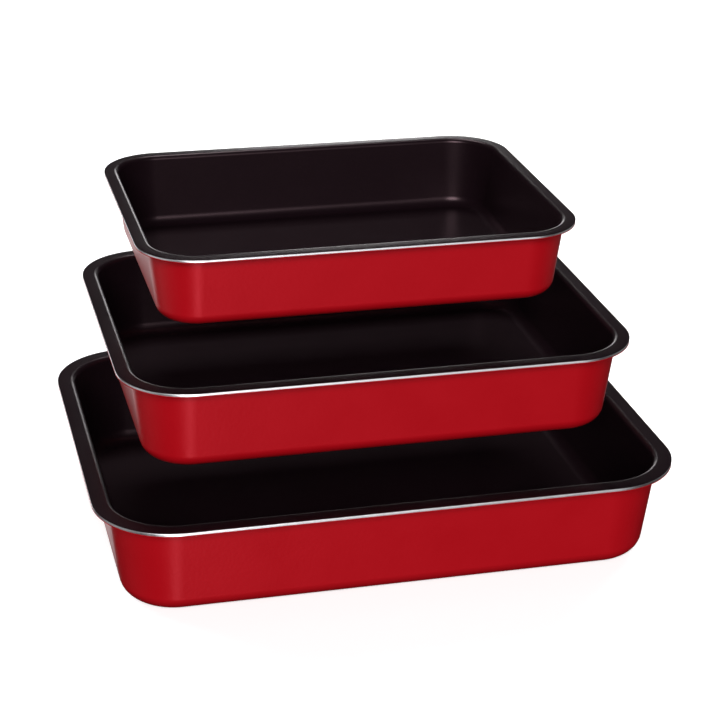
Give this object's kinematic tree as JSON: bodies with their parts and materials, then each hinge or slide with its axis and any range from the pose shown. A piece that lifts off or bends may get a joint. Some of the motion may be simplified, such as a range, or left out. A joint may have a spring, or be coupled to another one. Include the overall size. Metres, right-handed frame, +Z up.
{
  "type": "roasting tray set",
  "caption": "Nesting set of rectangular roasting trays with rounded corners and flat rims, red enamel outside and black non-stick inside, for oven cooking.",
  "frame": {"origin": "middle of the footprint of the large tray, on the surface that it stands on", "axes": "+X along the trays' length, +Y along their width towards the back, +Z up"},
  "size_m": [0.4, 0.3, 0.2375],
  "materials": {
    "nonstick": "satin black non-stick lining (a fluoropolymer coat)",
    "aluminium": "pressed sheet with a bright cut edge",
    "enamel": "satin-gloss red enamel (a silicone resin coat)"
  },
  "bodies": {
    "large_tray": {"large_nonstick_lining": "nonstick", "large_aluminium_sheet": "aluminium", "large_outer_enamel": "enamel", "large_base_enamel": "enamel"},
    "medium_tray": {"medium_nonstick_lining": "nonstick", "medium_aluminium_sheet": "aluminium", "medium_outer_enamel": "enamel", "medium_base_enamel": "enamel"},
    "small_tray": {"small_nonstick_lining": "nonstick", "small_aluminium_sheet": "aluminium", "small_outer_enamel": "enamel", "small_base_enamel": "enamel"}
  },
  "joints": [
    {"name": "medium_lift", "type": "slide", "parent": "large_tray", "child": "medium_tray", "axis": [0, 0, 1], "range_m": [-0.0923, 0]},
    {"name": "small_lift", "type": "slide", "parent": "medium_tray", "child": "small_tray", "axis": [0, 0, 1], "range_m": [-0.0881, 0]}
  ]
}
